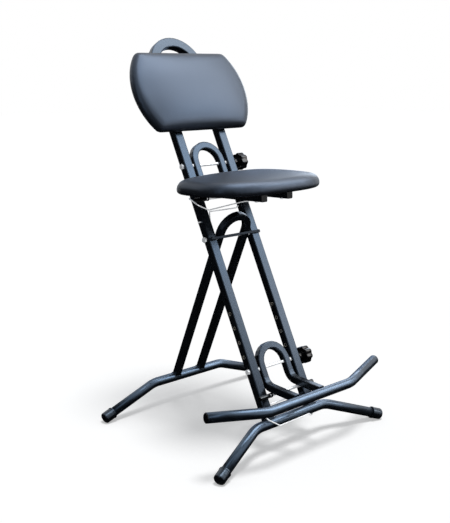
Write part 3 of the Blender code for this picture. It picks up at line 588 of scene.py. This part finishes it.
def oval_outline(inset, height):
    """Seat oval pulled in by the inset as far as the shoulder, then shrunk to its middle."""
    pulled = min(inset, SEAT_SHOULDER)
    shrink = 1 - (inset - pulled) / (SEAT_BEHIND - pulled)
    ring = []
    for step in range(SEAT_STEPS):
        angle = 2 * math.pi * step / SEAT_STEPS
        across = math.cos(angle)
        along = math.sin(angle)
        power, reach = oval_half(along)
        x = math.copysign(abs(across) ** (2 / power), across) * (SEAT_HALF_WIDTH - pulled)
        y = math.copysign(abs(along) ** (2 / power), along) * (reach - pulled)
        ring.append(Vector((x * shrink, y * shrink, height)))
    return ring


def oval_dome(spot):
    """Share of the crown at a point of the seat: 0 along its edge, 1 in the middle."""
    power, reach = oval_half(spot.y)
    x = abs(spot.x) / SEAT_HALF_WIDTH
    y = abs(spot.y) / reach
    return max(0, 1 - (x ** power + y ** power) ** (2 / power))


def cushion_rings(section):
    """Inset and height of each ring before filling, a little smaller than the finished cushion."""
    top = section.rim - PAD_SMALLER
    rings = []
    for step in range(TUCK_STEPS):
        rise = step / TUCK_STEPS
        inset = PAD_TUCK * (1 - rise) ** 2
        rings.append((inset + PAD_SMALLER * rise, PAD_BASE + (section.widest - PAD_BASE) * rise))
    for step in range(SHOULDER_STEPS):
        angle = math.pi / 2 * step / SHOULDER_STEPS
        inset = PAD_SMALLER + section.shoulder * (1 - math.cos(angle))
        rings.append((inset, section.widest + (top - section.widest) * math.sin(angle)))
    rings.append((PAD_SMALLER + section.shoulder, top))
    return rings


def crown_up(piece, dome, section):
    """Lifts the flat top by the dome."""
    shoulder_height = section.rim - PAD_SMALLER - section.widest
    for vertex in piece.data.vertices:
        share = min(max((vertex.co.z - section.widest) / shoulder_height, 0), 1)
        vertex.co.z += (section.crown - PAD_SMALLER) * dome(vertex.co) * share


def apply_all(piece):
    """Turns a piece's modifiers into its mesh."""
    graph = bpy.context.evaluated_depsgraph_get()
    made = bpy.data.meshes.new_from_object(piece.evaluated_get(graph))
    old = piece.data
    piece.modifiers.clear()
    piece.data = made
    bpy.data.meshes.remove(old)


def points_of(mesh):
    flat = np.empty(len(mesh.vertices) * 3)
    mesh.vertices.foreach_get("co", flat)
    return flat.reshape(-1, 3)


def evened(mesh, values, steps):
    """Averages a value over each vertex and its neighbours, so that no wrinkle is left in it."""
    ends = np.empty(len(mesh.edges) * 2, dtype=np.int64)
    mesh.edges.foreach_get("vertices", ends)
    first, second = ends.reshape(-1, 2).T
    count = np.bincount(ends, minlength=len(values))[:, None]
    for _ in range(steps):
        total = np.zeros_like(values)
        np.add.at(total, first, values[second])
        np.add.at(total, second, values[first])
        values = 0.5 * values + 0.5 * total / count
    return values


def blow_up(piece):
    """Runs the cloth under pressure, with the vertices of the held group fixed."""
    cloth = piece.modifiers.new("cloth", "CLOTH")
    settings = cloth.settings
    settings.quality = 6
    settings.mass = 0.4
    settings.tension_stiffness = 40
    settings.compression_stiffness = 40
    settings.shear_stiffness = 20
    settings.bending_stiffness = 10
    settings.use_pressure = True
    settings.uniform_pressure_force = PAD_PRESSURE
    settings.effector_weights.gravity = 0
    settings.vertex_group_mass = "held"
    cloth.point_cache.frame_start = 1
    cloth.point_cache.frame_end = PAD_FRAMES
    for step in range(1, PAD_FRAMES + 1):
        scene.frame_set(step)
    apply_all(piece)
    scene.frame_set(1)


def fill(piece):
    """Fills the cover like foam under tight leatherette, with its moves capped and evened."""
    rest = points_of(piece.data)
    held = piece.vertex_groups.new(name="held")
    low = PAD_BASE + PAD_HELD_HEIGHT
    held.add([i for i, spot in enumerate(rest) if spot[2] < low], 1.0, "REPLACE")
    blow_up(piece)
    moves = points_of(piece.data) - rest
    lengths = np.linalg.norm(moves, axis=1, keepdims=True)
    moves *= PAD_CAP / (PAD_CAP + lengths)
    filled = rest + evened(piece.data, moves, PAD_EVEN_STEPS)
    piece.data.vertices.foreach_set("co", filled.ravel())
    piece.data.update()


def remeshed(piece):
    """Even quads over the whole cover, eased over the edges."""
    remesh = piece.modifiers.new("remesh", "REMESH")
    remesh.mode = "VOXEL"
    remesh.voxel_size = PAD_VOXEL
    relax = piece.modifiers.new("relax", "SMOOTH")
    relax.factor = 0.5
    relax.iterations = 4
    apply_all(piece)


def subdivided(piece):
    finer = piece.modifiers.new("finer", "SUBSURF")
    finer.levels = 1
    finer.render_levels = 1
    apply_all(piece)


def pocketed(piece, outline):
    """Cuts the room for the board out of the cushion's flat side."""
    inset = BOARD_INSET - PAD_BASE
    depth = BOARD_THICK + 2 * PAD_BASE
    pocket = loft(f"{piece.name}_pocket", [outline(inset, -BOARD_THICK), outline(inset, depth)])
    cut = piece.modifiers.new("pocket", "BOOLEAN")
    cut.operation = "DIFFERENCE"
    cut.solver = "EXACT"
    cut.object = pocket
    apply_all(piece)
    bpy.data.objects.remove(pocket, do_unlink=True)


def cushion(name, body, replaced, plane, outline, dome, section):
    made = loft(name, [outline(*ring) for ring in cushion_rings(section)])
    remeshed(made)
    crown_up(made, dome, section)
    fill(made)
    subdivided(made)
    pocketed(made, outline)
    made.data.transform(plane)
    smooth_but(made, PAD_SHARP)
    dress(made, body, "black_leatherette")
    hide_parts(replaced)


# Round tubes, feet, knobs and weld beads

def filleted(corners, radius):
    """Straight runs between the corners, joined by arcs."""
    points = [corners[0]]
    for before, corner, after in zip(corners, corners[1:], corners[2:]):
        into = (corner - before).normalized()
        out = (after - corner).normalized()
        turn = into.angle(out)
        axis = into.cross(out).normalized()
        start = corner - into * radius * math.tan(turn / 2)
        centre = start + axis.cross(into) * radius
        for step in range(TUBE_BEND_STEPS + 1):
            bend = Quaternion(axis, turn * step / TUBE_BEND_STEPS)
            points.append(centre + bend @ (start - centre))
    points.append(corners[-1])
    return points


def round_tube(solid, body, corners, radius):
    """Bent tube with a wall, rounder than the faceted solid that it stands for."""
    made = swept(f"{solid}_round", filleted(corners, radius), ROUND_RADIUS, TUBE_BEVEL_STEPS)
    wall = made.modifiers.new("wall", "SOLIDIFY")
    wall.thickness = TUBE_WALL
    wall.offset = -1
    dress(made, body, "black_powder_coat", ROUND_COAT)
    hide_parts(solid)


def base_arm(base, fall, hand):
    """Bend and end of the arm of a base tube on one side."""
    bend = base + Vector((hand * BASE_BEND_X, 0, 0))
    end = base + fall + Vector((hand * BASE_END_X, 0, 0))
    return bend, end


def base_tube(solid, body, base, fall):
    """Tube across the base, whose arms fall to the feet and end inside them."""
    left_bend, left_end = base_arm(base, fall, -1)
    right_bend, right_end = base_arm(base, fall, 1)
    left_mouth = left_end + (left_bend - left_end).normalized() * FOOT_FLOOR
    right_mouth = right_end + (right_bend - right_end).normalized() * FOOT_FLOOR
    round_tube(solid, body, [left_mouth, left_bend, right_bend, right_mouth], BASE_BEND_RADIUS)


def footrest_bar():
    """Bar across the footrest, swept back and up at both ends."""
    plane = Matrix.Translation(FOOT_DECK) @ Matrix.Rotation(-FOOT_TILT, 4, "X")
    middle = Vector((0, -FOOT_REACH, -BAR_DROP))
    bends = [plane @ (middle + Vector((hand * BAR_BEND_X, 0, 0))) for hand in (-1, 1)]
    ends = [plane @ (middle + BAR_SWEEP + Vector((hand * BAR_END_X, 0, 0))) for hand in (-1, 1)]
    round_tube("footrest_bar", "footrest", [ends[0], *bends, ends[1]], BAR_BEND_RADIUS)


def foot_profile():
    """Pairs of distance from the mouth and radius: bore, lip, body and rounded end."""
    bore = [(FOOT_BORE_DEPTH, FOOT_BORE), (FOOT_BORE_EASE, FOOT_BORE), (0, FOOT_BORE + FOOT_BORE_EASE)]
    lip = [(0, FOOT_LIP - FOOT_LIP_EASE), (FOOT_LIP_EASE, FOOT_LIP), (FOOT_LIP_END, FOOT_LIP)]
    profile = [*bore, *lip, (FOOT_BODY_START, FOOT_BODY)]
    start = FOOT_LENGTH - FOOT_ROUND
    for step in range(FOOT_ROUND_STEPS + 1):
        angle = math.pi / 2 * step / FOOT_ROUND_STEPS
        radius = FOOT_BODY + FOOT_ROUND * (math.cos(angle) - 1)
        profile.append((start + FOOT_ROUND * math.sin(angle), radius))
    return profile


def foot_cap(solid, body, base, fall, hand):
    """Moulded cap on the end of an arm, flat where it stands on the floor."""
    bend, end = base_arm(base, fall, hand)
    aim = Vector((0, 0, 1)).rotation_difference(end - bend).to_matrix()
    rings = []
    for along, radius in foot_profile():
        ring = []
        for x, y in arc(0, 0, radius, 0, 2 * math.pi, FOOT_SIDES):
            spot = end + aim @ Vector((x, y, along - FOOT_LENGTH))
            spot.z = max(spot.z, 0)
            ring.append(spot)
        rings.append(ring[:-1])
    made = loft(f"{solid}_cap", rings)
    smooth_but(made, FOOT_SHARP)
    dress(made, body, "black_rubber")
    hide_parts(solid)


def knob_stations():
    """Stations from the end of the blind bore, over the hub, back and side, to the face's middle."""
    stations = [*KNOB_BORE_STATIONS, *KNOB_HUB_STATIONS, *KNOB_RECESS_STATIONS]
    for step in range(KNOB_BACK_STEPS + 1):
        angle = math.pi / 2 * step / KNOB_BACK_STEPS
        along = KNOB_BACK + KNOB_BACK_ROUND * (1 - math.cos(angle))
        radius = KNOB_WAIST + KNOB_BACK_ROUND * (math.sin(angle) - 1)
        stations.append((along, radius, 1))
    stations.append((KNOB_SIDE_MIDDLE, KNOB_WAIST, 1))
    for step in range(KNOB_FACE_STEPS + 1):
        turn = step / KNOB_FACE_STEPS
        angle = math.pi / 2 * turn
        along = KNOB_LENGTH + KNOB_FACE_ROUND * (math.sin(angle) - 1)
        radius = KNOB_WAIST + KNOB_FACE_ROUND * (math.cos(angle) - 1)
        stations.append((along, radius, 1 - KNOB_FACE_FADE * turn ** 2))
    return [*stations, *KNOB_DISH_STATIONS, *KNOB_BUTTON_STATIONS]


def knob(solid, body):
    """Lobed hand knob on the axis of the solid that it stands for."""
    low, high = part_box(solid)
    middle = (Vector(low) + Vector(high)) / 2
    count = KNOB_LOBES * KNOB_LOBE_STEPS
    rings = []
    for along, radius, share in knob_stations():
        ring = []
        for step in range(count):
            angle = 2 * math.pi * step / count
            reach = radius + share * KNOB_LOBE_DEPTH * math.cos(KNOB_LOBES * angle)
            y = middle.y + reach * math.cos(angle)
            z = middle.z + reach * math.sin(angle)
            ring.append(Vector((low[0] + along, y, z)))
        rings.append(ring)
    made = loft(f"{solid}_moulded", rings)
    smooth_but(made, KNOB_SHARP)
    dress(made, body, "black_plastic")
    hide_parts(solid)


def evenly(path, step):
    """Points about one step apart along a flat path, from its start to its end."""
    points = np.array(path)
    lengths = np.linalg.norm(np.diff(points, axis=0), axis=1)
    travel = np.concatenate([[0], np.cumsum(lengths)])
    at = np.linspace(0, travel[-1], int(travel[-1] / step))
    return np.stack([np.interp(at, travel, points[:, axis]) for axis in range(2)], axis=1)


def weld_outline(section):
    """Line of the bead round the square tube, and whether it closes on itself."""
    x = section.half_width
    front = section.half_depth
    corners = [(-x, section.back), (-x, front), (x, front), (x, section.back)]
    closed = section.back == -section.half_depth
    if closed:
        return evenly([*corners, corners[0]], WELD_STEP)[:-1], closed
    return evenly(corners, WELD_STEP), closed


def weld(name, body, foot, up, out, section):
    """Rippled bead along the line where a square tube meets the round base tube."""
    outline, closed = weld_outline(section)
    path = []
    for x, depth in outline:
        rise = math.sqrt(ROUND_RADIUS ** 2 - (depth - section.ahead) ** 2)
        path.append(foot + Vector((x, 0, 0)) + out * depth + up * rise)
    made = swept(name, path, WELD_RADIUS, WELD_BEVEL_STEPS)
    made.data.use_fill_caps = True
    spline = made.data.splines[0]
    spline.use_cyclic_u = closed
    for index, point in enumerate(spline.points):
        point.radius = 1 + WELD_RIPPLE_DEPTH * math.cos(2 * math.pi * index / WELD_RIPPLE)
    dress(made, body, "black_powder_coat")


cushion("seat_cushion", "seat", "seat_pad", SEAT_PLANE, oval_outline, oval_dome, SEAT_SECTION)
cushion(
    "backrest_cushion", "main_frame", "backrest_pad",
    BACK_PLANE, barrel_outline, barrel_dome, BACK_SECTION,
)
base_tube("front_base_tube", "main_frame", FRONT_BASE, FRONT_FALL)
base_tube("rear_base_tube", "rear_legs", REAR_FOOT, REAR_FALL)
footrest_bar()
for word, hand in HANDS:
    foot_cap(f"front_foot_{word}", "main_frame", FRONT_BASE, FRONT_FALL, hand)
    foot_cap(f"rear_foot_{word}", "rear_legs", REAR_FOOT, REAR_FALL, hand)
    upright = FRONT_FOOT + Vector((hand * UPRIGHT_X, 0, 0))
    weld(f"front_weld_{word}", "main_frame", upright, UP_MAIN, OUT_MAIN, FRONT_WELD)
    leg = REAR_FOOT + Vector((hand * LEG_X, 0, 0))
    weld(f"rear_weld_{word}", "rear_legs", leg, UP_REAR, OUT_REAR, REAR_WELD)
knob("seat_knob", "seat_knob")
knob("footrest_knob", "footrest_knob")


# Stage: pale floor with a soft shadow, white behind it

def shown_or_lit(tree, lit, shown):
    """One shader for the light that the object gets, another for what the camera and gloss show."""
    rays = node(tree, "ShaderNodeLightPath").outputs
    seen = arithmetic(tree, "MAXIMUM", rays["Is Camera Ray"], rays["Is Glossy Ray"])
    seen = arithmetic(tree, "MAXIMUM", seen, rays["Is Transmission Ray"])
    mix = node(tree, "ShaderNodeMixShader")
    for socket, source in zip(mix.inputs, (seen, lit, shown)):
        give(tree, socket, source)
    return mix.outputs["Shader"]


def stage():
    bpy.ops.mesh.primitive_plane_add(size=FLOOR_SIZE, location=(0, 0, -FLOOR_DROP))
    floor = bpy.context.active_object
    floor.name = "floor"
    made, tree, shader = new_material("pale_floor")
    tree.nodes.remove(shader)
    diffuse = node(tree, "ShaderNodeBsdfDiffuse")
    feed(tree, diffuse, Color=FLOOR_GREY)
    glow = node(tree, "ShaderNodeEmission")
    feed(tree, glow, Color=WHITE, Strength=FLOOR_GLOW)
    total = node(tree, "ShaderNodeAddShader")
    give(tree, total.inputs[0], diffuse.outputs["BSDF"])
    give(tree, total.inputs[1], glow.outputs["Emission"])
    surface = shown_or_lit(tree, diffuse.outputs["BSDF"], total.outputs["Shader"])
    feed(tree, tree.nodes["Material Output"], Surface=surface)
    floor.data.materials.append(made)


def world():
    made = bpy.data.worlds.new("studio")
    scene.world = made
    made.use_nodes = True
    tree = made.node_tree
    tree.nodes.clear()
    soft = node(tree, "ShaderNodeBackground")
    feed(tree, soft, Color=WORLD_TINT, Strength=WORLD_STRENGTH)
    white = node(tree, "ShaderNodeBackground")
    feed(tree, white, Color=WHITE, Strength=1.0)
    surface = shown_or_lit(tree, soft.outputs["Background"], white.outputs["Background"])
    feed(tree, node(tree, "ShaderNodeOutputWorld"), Surface=surface)


def softbox(name, spot, aim, size, power, colour=(1, 1, 1)):
    data = bpy.data.lights.new(name, "AREA")
    data.shape = "RECTANGLE"
    data.size, data.size_y = size
    data.energy = power
    data.color = colour
    made = bpy.data.objects.new(name, data)
    scene.collection.objects.link(made)
    made.location = spot
    made.rotation_euler = (Vector(aim) - Vector(spot)).to_track_quat("-Z", "Y").to_euler()
    return made


def sun(name, direction, spread_angle, strength):
    data = bpy.data.lights.new(name, "SUN")
    data.angle = math.radians(spread_angle)
    data.energy = strength
    made = bpy.data.objects.new(name, data)
    scene.collection.objects.link(made)
    made.rotation_euler = Vector(direction).to_track_quat("Z", "Y").to_euler()
    return made


def floor_link(name, state, lights):
    linked = bpy.data.collections.new(name)
    linked.objects.link(scene.objects["floor"])
    linked.collection_objects[0].light_linking.link_state = state
    for light in lights:
        light.light_linking.receiver_collection = linked


def keep_off_floor(*lights):
    """Keeps the softboxes off the floor, so that it stays evenly pale."""
    floor_link("all_but_floor", "EXCLUDE", lights)


def keep_on_floor(*lights):
    """Keeps the sun on the floor alone, where it draws the object's soft shadow."""
    floor_link("only_floor", "INCLUDE", lights)


def keep_on_zinc(light):
    """Lets a low front light reach the bright metal alone, as the pale floor does in a studio."""
    linked = bpy.data.collections.new("only_zinc")
    for piece in NODES.values():
        if piece.material_slots[0].material == FINISHES["bright_zinc"]:
            linked.objects.link(piece)
    light.light_linking.receiver_collection = linked


def card(name, spot, aim, size, colour):
    """Dark card out of sight: it darkens only what gloss shows of its side of the studio."""
    bpy.ops.mesh.primitive_plane_add(size=1, location=spot)
    made = bpy.context.active_object
    made.name = name
    made.scale = (*size, 1)
    made.rotation_euler = (Vector(aim) - Vector(spot)).to_track_quat("Z", "Y").to_euler()
    dark, tree, shader = new_material(name)
    feed(tree, shader, Base_Color=(*colour, 1), Specular_IOR_Level=0)
    made.data.materials.append(dark)
    made.visible_camera = False
    made.visible_diffuse = False
    made.visible_shadow = False


def light_stage():
    """Softboxes for the object, a sun for the floor and a fill for the bright metal."""
    strip_high = STRIP_SPOT + STRIP_HALF
    strip_low = STRIP_SPOT - STRIP_HALF
    keep_off_floor(
        softbox("key", (1.95, -0.92, 2.75), (0, 0, 0.90), (0.9, 1.9), 36, WARM_LIGHT),
        softbox("strip_high", strip_high, STRIP_AIM + STRIP_HALF, STRIP_SIZE, 11.5, STRIP_BLUE),
        softbox("strip_low", strip_low, STRIP_AIM - STRIP_HALF, STRIP_SIZE, 8.5, STRIP_WARM),
        softbox("overhead", (0.35, -0.45, 2.80), (0, 0, 0.60), (2.0, 1.6), 55, COOL_LIGHT),
        softbox("side", (2.4, 1.2, 1.5), (0, 0, 0.65), (1.0, 1.0), 13, COLD_LIGHT),
        softbox("left", (-1.9, -0.60, 1.50), (0, 0, 0.60), (0.15, 1.5), 4.5, COLD_LIGHT),
    )
    keep_on_floor(sun("floor_sun", (0.05, -0.10, 1.0), 18, 1.7))
    keep_on_zinc(softbox("zinc_fill", (-0.7, -2.3, 0.55), (0, -0.1, 0.30), (1.0, 0.8), 40))


def dark_cards():
    """Cards round the object, each facing it, and one flat on the floor."""
    card("side_card", (-1.5, 1.5, 0.65), (0, 0, 0.65), (2.6, 1.3), CARD_BLACK)
    card("far_card", (1.9, 2.1, 1.10), (0, 0, 1.10), (2.8, 2.2), CARD_BLUE)
    card("near_card", (-2.2, -2.4, 0.80), (0, 0, 0.80), (5.0, 1.6), CARD_BLACK)
    card("left_card", (-2.7, -0.4, 1.60), (0, 0, 0.80), (4.5, 3.2), CARD_BLACK)
    card("low_card", (-0.1, -0.2, 0.0002), (-0.1, -0.2, 1.0), (7.0, 7.0), CARD_BLACK)


def camera():
    data = bpy.data.cameras.new("camera")
    data.lens = CAMERA_LENS
    data.sensor_width = CAMERA_SENSOR
    made = bpy.data.objects.new("camera", data)
    scene.collection.objects.link(made)
    made.location = CAMERA_SPOT
    made.rotation_euler = CAMERA_TURN
    scene.camera = made


stage()
world()
light_stage()
dark_cards()
camera()
scene.view_settings.view_transform = "Standard"
